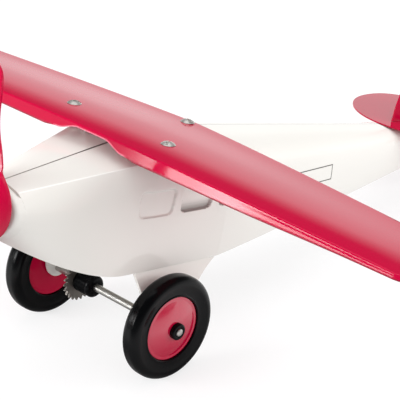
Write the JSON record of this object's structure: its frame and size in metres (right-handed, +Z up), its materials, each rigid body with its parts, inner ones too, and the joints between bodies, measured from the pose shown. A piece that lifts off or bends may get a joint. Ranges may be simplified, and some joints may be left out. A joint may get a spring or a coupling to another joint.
{
  "type": "toy monoplane",
  "caption": "Pressed-steel floor toy: high-wing cabin aeroplane on two rubber-tyred main wheels and a tail wheel, with a free propeller and a click gear on its axle.",
  "frame": {"origin": "centre of the part's footprint box, on the floor under the wheels", "axes": "+X to the nose, +Y to the left wing tip, +Z up; the body's axis is tipped 12 degrees nose-up about Y"},
  "size_m": [0.5274, 0.5698, 0.2378],
  "materials": {
    "body_paint": "gloss",
    "red_paint": "gloss",
    "tyre_rubber": "satin",
    "black_trim": "satin",
    "bright_steel": "satin"
  },
  "bodies": {
    "airframe": {"fuselage_left": "body_paint", "fuselage_right": "body_paint", "nose_cap": "body_paint", "left_leg": "body_paint", "right_leg": "body_paint", "wing": "red_paint", "wing_saddle": "bright_steel", "wing_screw_left": "bright_steel", "wing_screw_right": "bright_steel", "wing_screw_rear": "bright_steel", "wing_nut_left": "bright_steel", "wing_nut_right": "bright_steel", "wing_nut_rear": "bright_steel", "stabiliser": "red_paint", "fin": "red_paint", "fin_rivet_a": "red_paint", "fin_rivet_b": "red_paint", "tail_bracket": "bright_steel", "tail_pin": "bright_steel", "tail_rivet": "bright_steel", "click_reed": "bright_steel", "reed_rivet": "bright_steel", "prop_pin": "bright_steel"},
    "axle_set": {"axle": "bright_steel", "left_tyre": "tyre_rubber", "right_tyre": "tyre_rubber", "left_outer_disc": "red_paint", "left_inner_disc": "red_paint", "right_outer_disc": "red_paint", "right_inner_disc": "red_paint", "left_hub_cap": "black_trim", "right_hub_cap": "black_trim", "left_washer": "bright_steel", "right_washer": "bright_steel", "click_gear": "bright_steel", "axle_sleeve": "black_trim"},
    "propeller_body": {"propeller": "red_paint"},
    "tail_wheel_body": {"tail_wheel": "tyre_rubber"}
  },
  "joints": [
    {"name": "axle_spin", "type": "hinge", "parent": "airframe", "child": "axle_set", "pos_m": [0.14177, 0, 0.0381], "axis": [0, 1, 0], "continuous": true},
    {"name": "prop_spin", "type": "hinge", "parent": "airframe", "child": "propeller_body", "pos_m": [0.24291, 0, 0.14793], "axis": [0.9781, 0, 0.2079], "continuous": true},
    {"name": "tail_wheel_spin", "type": "hinge", "parent": "airframe", "child": "tail_wheel_body", "pos_m": [-0.22503, 0, 0.013], "axis": [0, 1, 0], "continuous": true}
  ]
}
